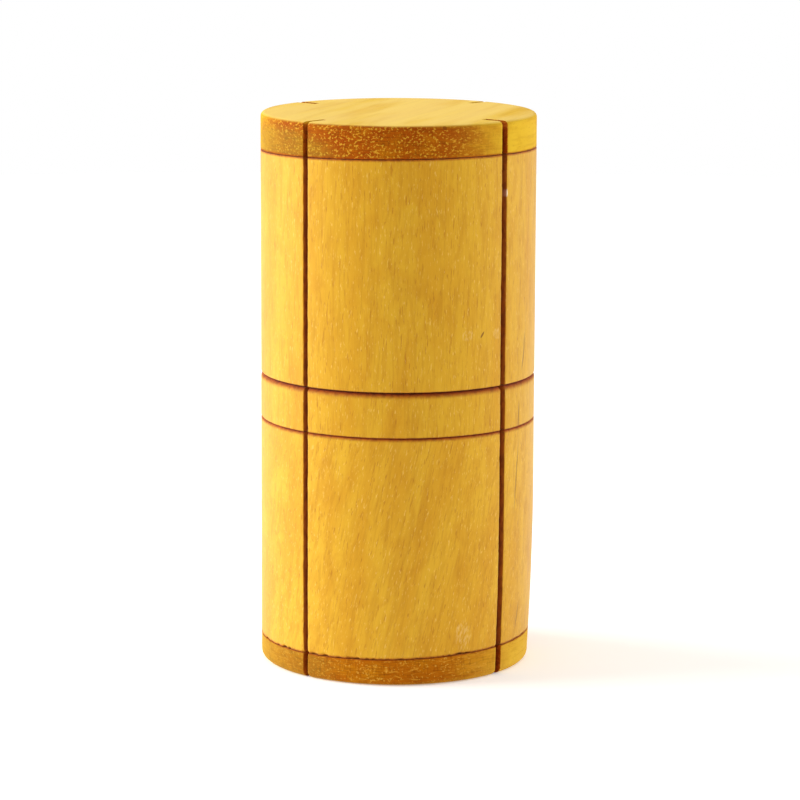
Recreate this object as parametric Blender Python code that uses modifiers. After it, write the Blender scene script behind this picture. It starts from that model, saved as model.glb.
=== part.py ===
"""A wooden cryptex: a round box that opens by turning a ring and a half, then pulling.

Two hollow barrels stand end to end with a narrow code ring between them. The lower barrel and its
cap stay still. A slotted guide sleeve turns inside it, and the code ring turns on the sleeve. The
upper barrel carries a vault tube whose two pegs slide in the sleeve's slot. Each peg sits under a
gate, a collar with one gap. The upper half lifts off only when both gaps stand over the pegs.

Blender 4.5, metres, +Z up, origin at the middle of the underside.
"""

import math

import bpy
import bmesh
from mathutils import Matrix, Vector

MM = 0.001

# Outer form
BODY_RADIUS = 25.0 * MM
HEIGHT = 100.5 * MM
BOTTOM_SEAM = 5.1 * MM
RING_BOTTOM_SEAM = 45.0 * MM
RING_TOP_SEAM = 53.1 * MM
TOP_SEAM = 94.0 * MM
SEAM_GAP = 0.3 * MM
RING_TOP_GAP = 0.45 * MM
TOP_RIM_ROUND = 1.3 * MM
BOTTOM_RIM_ROUND = 1.2 * MM
RING_TOP_EASE = 0.6 * MM
LOWER_MOUTH_EASE = 0.4 * MM

# The glued cap joints are not quite square: their rise for each unit of run along X and along Y
TOP_SEAM_TILT = (0.0243, -0.0089)
BOTTOM_SEAM_TILT = (0.0104, 0.0223)
LEVEL_TOLERANCE = 0.05 * MM

# The foot of the box is sanded a little lean on one side
LEAN_DEPTH = 0.95 * MM
LEAN_HEIGHT = 34.0 * MM
LEAN_DIRECTION = math.radians(41.0)
LEAN_LEVELS = 5

# Four saw kerfs run the whole height, a quarter turn apart, on the X and Y axes
QUARTER = math.pi / 2
KERF_DEPTH = 5.0 * MM
KERF_WIDTH_ON_X = 1.3 * MM
KERF_WIDTH_ON_Y = 1.0 * MM

# Bore through barrels and ring, and the tubes inside it
BORE_RADIUS = 16.0 * MM
SLEEVE_RADIUS = 12.0 * MM
VAULT_RADIUS = 9.5 * MM
VAULT_BORE_RADIUS = 7.0 * MM
FIT = 0.3 * MM
TURNING_CLEARANCE = 0.6 * MM

# Locking pegs, and the gaps that let them through. Pegs, slot and gaps look along -Y.
PEG_TURN = -QUARTER
PEG_RADIUS = 1.8 * MM
PEG_REACH = 15.0 * MM
RING_PEG_HEIGHT = 46.9 * MM
LOWER_PEG_HEIGHT = 36.0 * MM
GATE_GAP = 4.4 * MM
SLOT_WIDTH = 4.2 * MM
SLOT_FLOOR = 33.2 * MM
FALSE_GATE_DEPTH = 1.5 * MM

# Inner pieces, each from its bottom to its top
LOWER_GATE_SPAN = (38.2 * MM, 44.2 * MM)
RING_GATE_SPAN = (49.6 * MM, 52.6 * MM)
SLEEVE_SPAN = (8.0 * MM, 58.0 * MM)
FOOT_COLLAR_SPAN = (8.0 * MM, 12.0 * MM)
FOOT_BUSH_SPAN = (12.5 * MM, 18.5 * MM)
HEAD_COLLAR_SPAN = (53.3 * MM, 57.3 * MM)
VAULT_SPAN = (29.0 * MM, 97.0 * MM)
VAULT_BUSH_SPAN = (61.0 * MM, 67.0 * MM)

# Dowels that pin the collars to the sleeve, from their inner to their outer end
PIN_RADIUS = 1.0 * MM
PIN_SPAN = (10.2 * MM, 15.0 * MM)
DOWEL_BEVEL = 0.25 * MM

# Stopper in the mouth of the vault tube
STOPPER_TOP = 37.0 * MM
STOPPER_BOTTOM = 21.0 * MM
STOPPER_CHAMFER = 0.8 * MM
STOPPER_FLANGE_RADIUS = 8.8 * MM
STOPPER_FLANGE_THICKNESS = 2.4 * MM
STOPPER_KNOB_RADIUS = 3.6 * MM
STOPPER_NECK_RADIUS = 2.2 * MM

# Fineness of the meshes, and how far a cutter runs past what it cuts
OUTER_STEPS = 64
INNER_STEPS = 48
PEG_STEPS = 16
ROUND_PIECES = 3
MERGE_DISTANCE = 0.01 * MM
SHARP_ANGLE = math.radians(35.0)
OVERRUN = 2.0 * MM

# Colour, roughness and metallic value of each wood
WOODS = {
    "body_wood": ((0.62, 0.36, 0.09, 1.0), 0.5, 0.0),
    "cap_wood": ((0.50, 0.24, 0.04, 1.0), 0.5, 0.0),
    "gate_wood": ((0.66, 0.46, 0.25, 1.0), 0.6, 0.0),
    "tube_wood": ((0.60, 0.40, 0.20, 1.0), 0.5, 0.0),
    "dowel_wood": ((0.45, 0.24, 0.10, 1.0), 0.45, 0.0),
    "stopper_wood": ((0.40, 0.22, 0.11, 1.0), 0.6, 0.0),
}


def clear_scene():
    """Removes every object that the scene starts with."""
    for obj in list(bpy.data.objects):
        bpy.data.objects.remove(obj, do_unlink=True)


def new_collection(name):
    """A collection of the scene."""
    collection = bpy.data.collections.new(name)
    bpy.context.scene.collection.children.link(collection)
    return collection


def new_material(name, wood):
    """A Principled BSDF with the wood's colour, roughness and metallic value."""
    colour, roughness, metallic = WOODS[wood]
    material = bpy.data.materials.new(f"{name}_{wood}")
    material.use_nodes = True
    shader = material.node_tree.nodes["Principled BSDF"]
    shader.inputs["Base Color"].default_value = colour
    shader.inputs["Roughness"].default_value = roughness
    shader.inputs["Metallic"].default_value = metallic
    return material


def add_part(name, mesh, wood, collection):
    """A sub-part with its own material, shaded smooth up to its sharp edges."""
    mesh.materials.clear()
    mesh.materials.append(new_material(name, wood))
    mesh.shade_smooth()
    mesh.set_sharp_from_angle(angle=SHARP_ANGLE)
    obj = bpy.data.objects.new(name, mesh)
    collection.objects.link(obj)
    return obj


def add_cutter(name, mesh, collection):
    """A shape that only cuts others."""
    obj = bpy.data.objects.new(name, mesh)
    obj.hide_render = True
    obj.display_type = "WIRE"
    collection.objects.link(obj)
    return obj


def mesh_from(shape, name):
    """Ends a bmesh and keeps its shape as a mesh."""
    mesh = bpy.data.meshes.new(name)
    shape.to_mesh(mesh)
    shape.free()
    return mesh


def turned(name, section, steps, wood, collection, closed=True):
    """Turns a section round Z.

    The section is a list of (radius, height) that runs down the outer side, top to bottom. A ring
    closes up its bore. A solid piece starts and ends on the axis.
    """
    count = len(section)
    edges = [(i, (i + 1) % count) for i in range(count if closed else count - 1)]
    profile = bpy.data.meshes.new(name + "_profile")
    profile.from_pydata([(radius, 0.0, height) for radius, height in section], edges, [])
    lathe = bpy.data.objects.new(name + "_profile", profile)
    bpy.context.scene.collection.objects.link(lathe)
    screw = lathe.modifiers.new("Screw", "SCREW")
    screw.axis = "Z"
    screw.steps = steps
    screw.render_steps = steps
    screw.use_merge_vertices = True
    screw.merge_threshold = MERGE_DISTANCE
    bpy.context.view_layer.update()
    evaluated = lathe.evaluated_get(bpy.context.evaluated_depsgraph_get())
    mesh = bpy.data.meshes.new_from_object(evaluated)
    mesh.name = name
    bpy.data.objects.remove(lathe, do_unlink=True)
    return add_part(name, mesh, wood, collection)


def tube_section(outer, inner, bottom, top, ease_top=0.0):
    """A square-ended tube, whose upper outer edge may be eased."""
    section = [(outer - ease_top, top)] if ease_top else []
    return section + [(outer, top - ease_top), (outer, bottom), (inner, bottom), (inner, top)]


def rim_section(height, radius, start, end):
    """The rounded outer edge of a cap. Angles run in degrees up from the outward direction."""
    points = []
    for i in range(ROUND_PIECES + 1):
        angle = math.radians(start + (end - start) * i / ROUND_PIECES)
        across = BODY_RADIUS - radius + radius * math.cos(angle)
        points.append((across, height + radius * math.sin(angle)))
    return points


def lean(point):
    """Draws a point of the outer skin in where the foot is sanded lean."""
    radius = math.hypot(point.x, point.y)
    if radius < BORE_RADIUS + OVERRUN or point.z > LEAN_HEIGHT:
        return point
    facing = max(0.0, math.cos(math.atan2(point.y, point.x) - LEAN_DIRECTION))
    depth = LEAN_DEPTH * facing * (1.0 - point.z / LEAN_HEIGHT) ** 2
    scale = (radius - depth) / radius
    return Vector((point.x * scale, point.y * scale, point.z))


def tip_level(height, tilt):
    """A change that tips the face at one height and leaves every other point alone."""

    def change(point):
        if abs(point.z - height) > LEVEL_TOLERANCE:
            return point
        return Vector((point.x, point.y, point.z + tilt[0] * point.x + tilt[1] * point.y))

    return change


def reshape(obj, *changes):
    """Moves each point of a part by each change in turn."""
    for vertex in obj.data.vertices:
        for change in changes:
            vertex.co = change(vertex.co)


def boxes(name, placements, collection):
    """A cutter made of boxes. Each placement is (turn about Z, low corner, high corner)."""
    shape = bmesh.new()
    for turn, low, high in placements:
        low = Vector(low)
        high = Vector(high)
        placed = Matrix.Rotation(turn, 4, "Z") @ Matrix.Translation((low + high) / 2)
        bmesh.ops.create_cube(shape, size=1.0, matrix=placed @ Matrix.Diagonal((*(high - low), 1.0)))
    return add_cutter(name, mesh_from(shape, name), collection)


def add_rod(shape, radius, turn, height, start, end):
    """A rod that lies along a radius of the box, from one distance to another."""
    placed = Matrix.Rotation(turn, 4, "Z") @ Matrix.Translation(((start + end) / 2, 0.0, height))
    bmesh.ops.create_cone(
        shape,
        cap_ends=True,
        segments=PEG_STEPS,
        radius1=radius,
        radius2=radius,
        depth=end - start,
        matrix=placed @ Matrix.Rotation(math.pi / 2, 4, "Y"),
    )


def rods(name, radius, placements, collection):
    """A cutter made of rods. Each placement is (turn about Z, height, from, to)."""
    shape = bmesh.new()
    for placement in placements:
        add_rod(shape, radius, *placement)
    return add_cutter(name, mesh_from(shape, name), collection)


def dowel(name, radius, placement, collection):
    """A round wooden peg with its ends softened."""
    shape = bmesh.new()
    add_rod(shape, radius, *placement)
    obj = add_part(name, mesh_from(shape, name), "dowel_wood", collection)
    bevel = obj.modifiers.new("Bevel", "BEVEL")
    bevel.width = DOWEL_BEVEL
    bevel.segments = 1
    bevel.limit_method = "ANGLE"
    bevel.angle_limit = math.radians(60.0)


def cut(obj, *cutters):
    """Takes each cutter out of a part."""
    for cutter in cutters:
        boolean = obj.modifiers.new(cutter.name, "BOOLEAN")
        boolean.operation = "DIFFERENCE"
        boolean.object = cutter
        boolean.solver = "EXACT"


def kerf_cutter(cutters):
    """Four saw cuts along the full height, at the quarter turns."""
    placements = []
    for quarter in range(4):
        half = (KERF_WIDTH_ON_X if quarter % 2 == 0 else KERF_WIDTH_ON_Y) / 2
        low = (BODY_RADIUS - KERF_DEPTH, -half, -OVERRUN)
        high = (BODY_RADIUS + OVERRUN, half, HEIGHT + OVERRUN)
        placements.append((quarter * QUARTER, low, high))
    return boxes("kerfs", placements, cutters)


def gap_cutter(name, width, bottom, top, cutters):
    """A gap through a collar or a tube's wall, on the side of the pegs."""
    low = (VAULT_BORE_RADIUS, -width / 2, bottom)
    high = (BORE_RADIUS + OVERRUN, width / 2, top)
    return boxes(name, [(PEG_TURN, low, high)], cutters)


def false_gate_cutter(name, underside, cutters):
    """Blind notches in a gate's underside at the three wrong quarter turns."""
    placements = []
    for quarter in range(1, 4):
        low = (SLEEVE_RADIUS, -GATE_GAP / 2, underside - OVERRUN)
        high = (BORE_RADIUS + OVERRUN, GATE_GAP / 2, underside + FALSE_GATE_DEPTH)
        placements.append((PEG_TURN + quarter * QUARTER, low, high))
    return boxes(name, placements, cutters)


def build_gate(name, span, parts, cutters):
    """A collar glued in a bore, with one gap that lets a peg through and three blind notches."""
    bottom, top = span
    section = tube_section(BORE_RADIUS - FIT, SLEEVE_RADIUS + FIT, bottom, top)
    gate = turned(name, section, INNER_STEPS, "gate_wood", parts)
    gap = gap_cutter(name + "_gap", GATE_GAP, bottom - OVERRUN, top + OVERRUN, cutters)
    cut(gate, gap, false_gate_cutter(name + "_notches", bottom, cutters))


def build_lower_half(parts, cutters, kerfs):
    """The half that stays still: its cap, barrel and gate, and the bush that the sleeve turns in."""
    cap_top = BOTTOM_SEAM - SEAM_GAP / 2
    rim = rim_section(BOTTOM_RIM_ROUND, BOTTOM_RIM_ROUND, 0.0, -90.0)
    section = [(0.0, cap_top), (BODY_RADIUS, cap_top), *rim, (0.0, 0.0)]
    cap = turned("bottom_cap", section, OUTER_STEPS, "cap_wood", parts, closed=False)
    reshape(cap, lean, tip_level(cap_top, BOTTOM_SEAM_TILT))
    cut(cap, kerfs)

    foot = BOTTOM_SEAM + SEAM_GAP / 2
    mouth = RING_BOTTOM_SEAM - SEAM_GAP / 2
    upper, wall, *rest = tube_section(BODY_RADIUS, BORE_RADIUS, foot, mouth, LOWER_MOUTH_EASE)
    fall = (LEAN_HEIGHT - foot) / LEAN_LEVELS
    levels = [(BODY_RADIUS, LEAN_HEIGHT - i * fall) for i in range(LEAN_LEVELS)]
    section = [upper, wall, *levels, *rest]
    barrel = turned("lower_barrel", section, OUTER_STEPS, "body_wood", parts)
    reshape(barrel, lean, tip_level(foot, BOTTOM_SEAM_TILT))
    cut(barrel, kerfs)

    build_gate("lower_gate", LOWER_GATE_SPAN, parts, cutters)
    section = tube_section(BORE_RADIUS - FIT, SLEEVE_RADIUS + FIT, *FOOT_BUSH_SPAN)
    turned("foot_bush", section, INNER_STEPS, "gate_wood", parts)


def build_collar(name, span, parts, cutters):
    """A collar round the sleeve, held by a pin on each side. Returns it and its pins' holes."""
    bottom, top = span
    middle = (bottom + top) / 2
    section = tube_section(BORE_RADIUS - TURNING_CLEARANCE, SLEEVE_RADIUS + FIT, bottom, top)
    collar = turned(name + "_collar", section, INNER_STEPS, "gate_wood", parts)
    inner_end, outer_end = PIN_SPAN
    holes = []
    for side, turn in (("left", math.pi), ("right", 0.0)):
        dowel(f"{name}_pin_{side}", PIN_RADIUS, (turn, middle, inner_end, outer_end), parts)
        holes.append((turn, middle, inner_end - OVERRUN, outer_end + OVERRUN))
    pin_holes = rods(name + "_pin_holes", PIN_RADIUS + FIT, holes, cutters)
    cut(collar, pin_holes)
    return collar, pin_holes


def build_guide(parts, cutters):
    """The slotted tube that turns with the upper half, and its two collars."""
    bottom, top = SLEEVE_SPAN
    section = tube_section(SLEEVE_RADIUS, VAULT_RADIUS + FIT, bottom, top)
    sleeve = turned("guide_sleeve", section, INNER_STEPS, "tube_wood", parts)
    slot = gap_cutter("sleeve_slot", SLOT_WIDTH, SLOT_FLOOR, top + OVERRUN, cutters)
    _, foot_holes = build_collar("foot", FOOT_COLLAR_SPAN, parts, cutters)
    head, head_holes = build_collar("head", HEAD_COLLAR_SPAN, parts, cutters)
    cut(sleeve, slot, foot_holes, head_holes)
    cut(head, slot)


def build_code_ring(parts, cutters, kerfs):
    """The narrow ring between the barrels, with its own gate glued in its bore."""
    bottom = RING_BOTTOM_SEAM + SEAM_GAP / 2
    top = RING_TOP_SEAM - RING_TOP_GAP / 2
    section = tube_section(BODY_RADIUS, BORE_RADIUS, bottom, top, RING_TOP_EASE)
    ring = turned("code_ring", section, OUTER_STEPS, "body_wood", parts)
    cut(ring, kerfs)
    build_gate("ring_gate", RING_GATE_SPAN, parts, cutters)


def build_upper_half(parts, cutters, kerfs):
    """The half that lifts off: its barrel, cap and vault tube, with the tube's bush and pegs."""
    foot = RING_TOP_SEAM + RING_TOP_GAP / 2
    head = TOP_SEAM - SEAM_GAP / 2
    section = tube_section(BODY_RADIUS, BORE_RADIUS, foot, head)
    barrel = turned("upper_barrel", section, OUTER_STEPS, "body_wood", parts)
    reshape(barrel, tip_level(head, TOP_SEAM_TILT))
    cut(barrel, kerfs)

    vault_bottom, vault_top = VAULT_SPAN
    cap_bottom = TOP_SEAM + SEAM_GAP / 2
    socket = VAULT_RADIUS + FIT
    socket_top = vault_top + FIT
    rim = rim_section(HEIGHT - TOP_RIM_ROUND, TOP_RIM_ROUND, 90.0, 0.0)
    section = [(0.0, HEIGHT), *rim, (BODY_RADIUS, cap_bottom)]
    section += [(socket, cap_bottom), (socket, socket_top), (0.0, socket_top)]
    cap = turned("top_cap", section, OUTER_STEPS, "cap_wood", parts, closed=False)
    reshape(cap, tip_level(cap_bottom, TOP_SEAM_TILT))
    cut(cap, kerfs)

    section = tube_section(VAULT_RADIUS, VAULT_BORE_RADIUS, vault_bottom, vault_top)
    vault = turned("vault_tube", section, INNER_STEPS, "tube_wood", parts)
    holes = []
    for name, height in (("ring_peg", RING_PEG_HEIGHT), ("lower_peg", LOWER_PEG_HEIGHT)):
        dowel(name, PEG_RADIUS, (PEG_TURN, height, VAULT_BORE_RADIUS + FIT, PEG_REACH), parts)
        holes.append((PEG_TURN, height, VAULT_BORE_RADIUS - OVERRUN, PEG_REACH))
    cut(vault, rods("peg_holes", PEG_RADIUS + FIT, holes, cutters))

    section = tube_section(BORE_RADIUS - FIT, VAULT_RADIUS + FIT, *VAULT_BUSH_SPAN)
    turned("vault_bush", section, INNER_STEPS, "gate_wood", parts)


def build_stopper(parts):
    """The bung in the mouth of the vault tube, with a flange and a knob to pull it by."""
    flange_top = VAULT_SPAN[0] - FIT
    flange_bottom = flange_top - STOPPER_FLANGE_THICKNESS
    knob_top = STOPPER_BOTTOM + STOPPER_KNOB_RADIUS
    plug = VAULT_BORE_RADIUS - FIT
    section = [
        (0.0, STOPPER_TOP),
        (plug - STOPPER_CHAMFER, STOPPER_TOP),
        (plug, STOPPER_TOP - STOPPER_CHAMFER),
        (plug, flange_top),
        (STOPPER_FLANGE_RADIUS, flange_top),
        (STOPPER_FLANGE_RADIUS, flange_bottom),
        (STOPPER_NECK_RADIUS, flange_bottom),
        (STOPPER_NECK_RADIUS, knob_top),
        (STOPPER_KNOB_RADIUS, knob_top - STOPPER_CHAMFER),
        (STOPPER_KNOB_RADIUS, STOPPER_BOTTOM + STOPPER_CHAMFER),
        (STOPPER_KNOB_RADIUS - STOPPER_CHAMFER, STOPPER_BOTTOM),
        (0.0, STOPPER_BOTTOM),
    ]
    turned("vault_stopper", section, INNER_STEPS, "stopper_wood", parts, closed=False)


def main():
    clear_scene()
    parts = new_collection("cryptex")
    cutters = new_collection("cutters")
    kerfs = kerf_cutter(cutters)
    build_lower_half(parts, cutters, kerfs)
    build_guide(parts, cutters)
    build_code_ring(parts, cutters, kerfs)
    build_upper_half(parts, cutters, kerfs)
    build_stopper(parts)


main()
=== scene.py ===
"""The looks of a wooden cryptex, built round its packed mechanical model.

Five turned and sawn outer pieces and fifteen inner ones are worked out as fine surfaces, one for
each node of the model, and dressed in procedural woods. Lengths are in metres, +Z up.
"""

import logging
import math
from collections.abc import Callable, Sequence
from dataclasses import dataclass, replace
from enum import Enum
from functools import partial
from typing import ClassVar, NamedTuple

import bpy
import numpy as np
from mathutils import Matrix, Vector


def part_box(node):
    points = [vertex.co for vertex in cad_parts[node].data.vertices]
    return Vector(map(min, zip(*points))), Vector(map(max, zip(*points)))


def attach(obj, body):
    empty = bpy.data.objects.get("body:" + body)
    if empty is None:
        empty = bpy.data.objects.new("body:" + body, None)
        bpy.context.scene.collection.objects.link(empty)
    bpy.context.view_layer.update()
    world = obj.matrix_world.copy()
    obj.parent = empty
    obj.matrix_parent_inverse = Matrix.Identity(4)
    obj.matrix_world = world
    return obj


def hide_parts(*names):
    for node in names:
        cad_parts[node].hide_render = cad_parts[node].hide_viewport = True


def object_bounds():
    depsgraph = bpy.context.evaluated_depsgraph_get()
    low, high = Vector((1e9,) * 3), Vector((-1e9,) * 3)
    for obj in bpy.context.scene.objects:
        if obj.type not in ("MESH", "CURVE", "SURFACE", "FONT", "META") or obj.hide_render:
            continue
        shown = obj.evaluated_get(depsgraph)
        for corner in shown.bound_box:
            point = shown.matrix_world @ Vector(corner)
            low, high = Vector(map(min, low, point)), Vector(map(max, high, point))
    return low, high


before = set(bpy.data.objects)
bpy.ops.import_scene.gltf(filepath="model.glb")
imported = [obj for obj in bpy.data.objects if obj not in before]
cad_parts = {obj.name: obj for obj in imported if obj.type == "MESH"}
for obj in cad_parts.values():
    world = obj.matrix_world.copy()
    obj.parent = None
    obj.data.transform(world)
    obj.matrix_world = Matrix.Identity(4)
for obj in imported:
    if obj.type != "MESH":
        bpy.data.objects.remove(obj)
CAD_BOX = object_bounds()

LOG = logging.getLogger("cryptex")
MM = 0.001
QUARTER = math.pi / 2
VIEW_AZIMUTH = math.radians(41.2)
SHARP_ANGLE = math.radians(33.0)

Array = np.ndarray
Relief = Callable[[Array, Array], Array]


def span(node: str) -> tuple[float, float]:
    """The lowest and highest point of a node."""
    low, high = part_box(node)
    return low.z, high.z


def half_width(node: str) -> float:
    """Half of a node's extent along X, which is the radius of a turned piece."""
    low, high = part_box(node)
    return (high.x - low.x) / 2


# ---------------------------------------------------------------- surfaces


def smooth_step(value: Array) -> Array:
    """Rises from 0 to 1 as the value does, level at both ends: 3t squared less 2t cubed."""
    held = np.clip(value, 0.0, 1.0)
    return held * held * (3.0 - 2.0 * held)


class WrappedNoise:
    """Value noise over the turned skin, which meets itself after a full turn."""

    reach: ClassVar[float] = 120.0 * MM

    def __init__(self, seed: int, around: int, spacing: float) -> None:
        """Draws the heights of the lattice.

        Args:
            seed: Seed of the random heights.
            around: Lattice cells in a full turn.
            spacing: Lattice spacing along Z.
        """
        self.around = around
        self.spacing = spacing
        self.rows = int(self.reach / spacing) + 3
        self.lattice = np.random.default_rng(seed).uniform(-1.0, 1.0, (self.rows, around))

    def __call__(self, angle: Array, height: Array) -> Array:
        """The lattice heights, blended by a smooth step of the distance to each crossing.

        Args:
            angle: Angles about Z.
            height: Heights, of a shape that broadcasts with the angles.

        Returns:
            Values from -1 to 1.
        """
        across = (angle / (2 * math.pi)) % 1.0 * self.around
        along = np.clip(height / self.spacing, 0.0, self.rows - 2.0)
        across, along = np.broadcast_arrays(across, along)
        column = np.floor(across).astype(int)
        row = np.floor(along).astype(int)
        side = smooth_step(across - column)
        rise = smooth_step(along - row)
        column %= self.around
        after = (column + 1) % self.around
        below = self.lattice[row, column] * (1 - side) + self.lattice[row, after] * side
        above = self.lattice[row + 1, column] * (1 - side) + self.lattice[row + 1, after] * side
        return below * (1 - rise) + above * rise


def turned(points: Array, turn: float) -> Array:
    """Points turned about Z: x and y go round, and z stays.

    Args:
        points: Points, in the last axis.
        turn: The turn.

    Returns:
        The turned points.
    """
    x, y, z = np.moveaxis(points, -1, 0)
    cosine, sine = math.cos(turn), math.sin(turn)
    return np.stack([x * cosine - y * sine, x * sine + y * cosine, z], axis=-1)


def rounding(radius: float, height: float, ease: float, start: float, end: float, steps: int = 5) -> Array:
    """Points of a rounded edge: a quarter circle about a centre, from one angle to another.

    Args:
        radius: Radius of the round's centre from the Z axis.
        height: Height of its centre.
        ease: Radius of the round itself.
        start: First angle up from the outward direction, in degrees.
        end: Last angle.
        steps: Pieces of the arc.

    Returns:
        Pairs of radius and height.
    """
    angle = np.radians(np.linspace(start, end, steps + 1))
    return np.stack([radius + ease * np.cos(angle), height + ease * np.sin(angle)], axis=-1)


def rounded_wall(radius: float, ends: tuple[float, float], ease: float, count: int) -> Array:
    """Section of a turned wall, from the top down, with both of its edges rounded.

    Args:
        radius: Radius of the wall.
        ends: Its lowest and highest point.
        ease: Radius of the rounded edges.
        count: Rows along it.

    Returns:
        Pairs of radius and height.
    """
    bottom, top = ends[0] + ease, ends[1] - ease
    run = np.linspace(top, bottom, count)[1:-1]
    return np.vstack([
        rounding(radius - ease, top, ease, 90.0, 0.0, 4),
        np.stack([np.full(len(run), radius), run], axis=-1),
        rounding(radius - ease, bottom, ease, 0.0, -90.0, 4),
    ])


def revolve(section: Array, steps: int) -> Array:
    """Points of a section turned about Z: radius times the cosine and sine of each angle.

    Args:
        section: Pairs of radius and height.
        steps: Columns in a full turn.

    Returns:
        Points, as rows by columns by 3.
    """
    angle = np.linspace(0.0, 2 * math.pi, steps, endpoint=False)
    radius, height = section[:, :1], section[:, 1:]
    return np.stack([radius * np.cos(angle), radius * np.sin(angle), height + 0 * angle], axis=-1)


def grid_faces(index: Array) -> Array:
    """Quads between neighbouring rows of a grid whose columns close round.

    Args:
        index: Vertex numbers, one row of the surface in each row.

    Returns:
        Four vertex numbers for each quad.
    """
    after = np.roll(index, -1, axis=1)
    return np.stack([index[:-1], index[1:], after[1:], after[:-1]], axis=-1).reshape(-1, 4)


def add_object(name: str, data: bpy.types.ID) -> bpy.types.Object:
    """Puts a new object with its data in the scene."""
    added = bpy.data.objects.new(name, data)
    bpy.context.scene.collection.objects.link(added)
    return added


def add_mesh(name: str, points: Array, faces: list) -> bpy.types.Object:
    """Puts a new mesh in the scene, from its points and its faces."""
    mesh = bpy.data.meshes.new(name)
    mesh.from_pydata(points.tolist(), [], faces)
    return add_object(name, mesh)


def surface(name: str, grid: Array, looped: bool, marks: dict[str, Array]) -> bpy.types.Object:
    """Makes a closed mesh from a grid of points whose columns go round the Z axis.

    A looped grid's last row joins its first, as on a tube. Otherwise its first and last rows are
    poles, and each is one vertex with a fan of triangles. Rows that run down the outside give
    faces that look outwards.

    Args:
        name: The piece's name.
        grid: Points, as rows by columns by 3.
        looped: Whether the rows close into a loop.
        marks: Float attributes of the points, of shapes that broadcast to rows by columns.

    Returns:
        The new object.
    """
    rows, columns = grid.shape[:2]
    if looped:
        index = np.arange(rows * columns).reshape(rows, columns)
        picked = index.ravel()
        faces = grid_faces(np.vstack([index, index[:1]])).tolist()
    else:
        inner = (rows - 2) * columns
        index = 1 + np.arange(inner).reshape(rows - 2, columns)
        picked = np.concatenate([[0], columns + np.arange(inner), [(rows - 1) * columns]])
        first, last = index[0], index[-1]
        start = np.stack([np.zeros(columns, int), first, np.roll(first, -1)], axis=-1)
        end = np.stack([np.full(columns, inner + 1), np.roll(last, -1), last], axis=-1)
        faces = [*grid_faces(index).tolist(), *start.tolist(), *end.tolist()]
    piece = add_mesh(name, grid.reshape(-1, 3)[picked], faces)
    for mark, values in marks.items():
        attribute = piece.data.attributes.new(mark, "FLOAT", "POINT")
        spread = np.broadcast_to(values, (rows, columns)).ravel()[picked]
        attribute.data.foreach_set("value", spread.astype(np.float32))
    return piece


# ---------------------------------------------------------------- finishes

MIX_FACTOR, MIX_UNDER, MIX_OVER, MIX_RESULT = 0, 6, 7, 2
FIGURE_SHIFT_MM = 7.3
DRIFT_SIZE = 4.0 * MM
LEAST_DEPTH_MM = 3.0
BALL_FULL = 0.45
CHARRED_SHIFT_MM = 3.0
SCORCHED_ROUGHNESS = 0.9
LEVEL_START, LEVEL_FULL = 0.6, 0.95


def linear(hex_colour: str) -> tuple[float, float, float, float]:
    """Turns an sRGB hex colour into linear red, green, blue and alpha.

    Args:
        hex_colour: A colour such as "#E6A81A".

    Returns:
        The four linear values.
    """
    values = [int(hex_colour[i : i + 2], 16) / 255 for i in (1, 3, 5)]
    return (*[v / 12.92 if v <= 0.04045 else ((v + 0.055) / 1.055) ** 2.4 for v in values], 1.0)


def add_node(
    tree: bpy.types.NodeTree, kind: str, inputs: dict | None = None, out: int | str = 0, **settings: object
) -> bpy.types.NodeSocket | None:
    """Adds a node with its settings, constants and links.

    Args:
        tree: The tree that it goes in.
        kind: Blender's name of the shader node's type, without its prefix.
        inputs: Socket name or number, to a constant or to the output socket that feeds it.
        out: Name or number of the output that is wanted.
        settings: Properties of the node itself.

    Returns:
        That output, or nothing from a node that has none.
    """
    node = tree.nodes.new(f"ShaderNode{kind}")
    for key, value in settings.items():
        setattr(node, key, value)
    for key, value in (inputs or {}).items():
        if isinstance(value, bpy.types.NodeSocket):
            tree.links.new(value, node.inputs[key])
        else:
            node.inputs[key].default_value = value
    return node.outputs[out] if len(node.outputs) else None


class Face(Enum):
    """Which faces of the wood a figure shows on."""

    ALL = "all"
    SIDE = "side grain"
    END = "end grain"
    # Upward faces, which carry a pale tone painted as the sheen of a lit top.
    LEVEL_PAINTED_SHEEN = "level faces"


@dataclass(frozen=True)
class Figure:
    """One scale of figure in the wood: noise that is drawn out along the grain.

    The sizes are those of its grains, in millimetres: level across the grain, upright across it,
    and along it. It shows where the noise passes a threshold, from start to full. Detail adds
    octaves of finer noise, and stir warps it.
    """

    size_mm: tuple[float, float, float]
    start: float
    full: float
    strength: float
    colour: str
    relief_mm: float = 0.0
    detail: float = 2.0
    stir: float = 0.0
    face: Face = Face.ALL


@dataclass(frozen=True)
class Blemish:
    """A crack, bruise or rubbed spot on the skin, at an angle round the box and a height.

    Its shape is an ellipsoid with half sizes across and upright, pushed about by noise. A broken
    one shows only in flecks.
    """

    degrees: float
    height_mm: float
    across_mm: float
    tall_mm: float
    colour: str
    strength: float
    lean_degrees: float = 0.0
    wander_mm: float = 0.0
    broken: bool = False
    relief_mm: float = 0.0


@dataclass(frozen=True)
class WoodFinish:
    """A turned and sanded wood, whose figure runs along its grain."""

    name: str
    slot: str
    colour: str
    figures: tuple[Figure, ...]
    seed: float = 0.0
    grain: tuple[float, float, float] = (0.0, 0.0, 1.0)
    end_colour: str = "#FFFFFF"
    end_start: float = 0.3
    end_full: float = 0.97
    roughness: float = 0.5
    specular: float = 0.2
    nap: float = 0.0
    sawn: bool = False
    blemishes: tuple[Blemish, ...] = ()

    def material(self) -> bpy.types.Material:
        """Builds the wood's shader, once.

        Returns:
            The material.
        """
        if self.name in bpy.data.materials:
            return bpy.data.materials[self.name]
        material = bpy.data.materials.new(self.name)
        material.use_nodes = True
        WoodShader(self, material.node_tree).build()
        return material


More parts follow.
